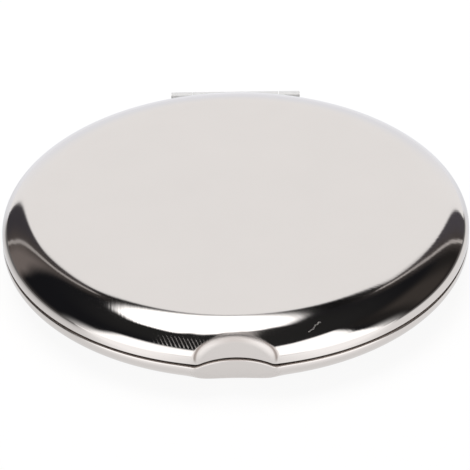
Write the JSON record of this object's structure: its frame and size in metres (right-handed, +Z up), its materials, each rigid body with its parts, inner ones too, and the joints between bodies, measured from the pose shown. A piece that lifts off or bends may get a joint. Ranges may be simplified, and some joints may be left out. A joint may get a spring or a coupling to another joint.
{
  "type": "compact mirror",
  "caption": "Round pocket compact mirror in a polished steel clamshell case, with a rear hinge, a thumb scoop at the front and a framed mirror in each half.",
  "frame": {"origin": "centre of the flat underside of the base", "axes": "+Z up through the closed case, -Y towards the thumb scoop, +Y towards the hinge, +X to the right seen from the front"},
  "size_m": [0.07, 0.072, 0.0089],
  "materials": {
    "polished_steel": "mirror polished",
    "frame_plastic": "satin chrome plated ABS",
    "mirror_glass": "silvered glass",
    "pad_foam": "foam",
    "hinge_steel": "bright rolled strip",
    "rivet_steel": "nickel plated",
    "pin_steel": "drawn wire",
    "magnet_nickel": "nickel plated",
    "catch_steel": "zinc plated",
    "bumper_silicone": "clear soft moulded"
  },
  "bodies": {
    "base": {"base_shell": "polished_steel", "base_frame": "frame_plastic", "base_mirror": "mirror_glass", "base_mirror_pad": "pad_foam", "base_hinge_leaf": "hinge_steel", "base_hinge_rivets": "rivet_steel", "hinge_pin": "pin_steel", "catch_magnet_left": "magnet_nickel", "catch_magnet_right": "magnet_nickel", "bumper_front_left": "bumper_silicone", "bumper_front_right": "bumper_silicone", "bumper_rear_left": "bumper_silicone", "bumper_rear_right": "bumper_silicone"},
    "lid": {"lid_shell": "polished_steel", "lid_frame": "frame_plastic", "lid_mirror": "mirror_glass", "lid_mirror_pad": "pad_foam", "lid_hinge_leaf": "hinge_steel", "lid_hinge_rivets": "rivet_steel", "catch_plate_left": "catch_steel", "catch_plate_right": "catch_steel"}
  },
  "joints": [
    {"name": "lid_hinge", "type": "hinge", "parent": "base", "child": "lid", "pos_m": [0, 0.036, 0.00445], "axis": [-1, 0, 0], "range_deg": [0, 180]}
  ]
}
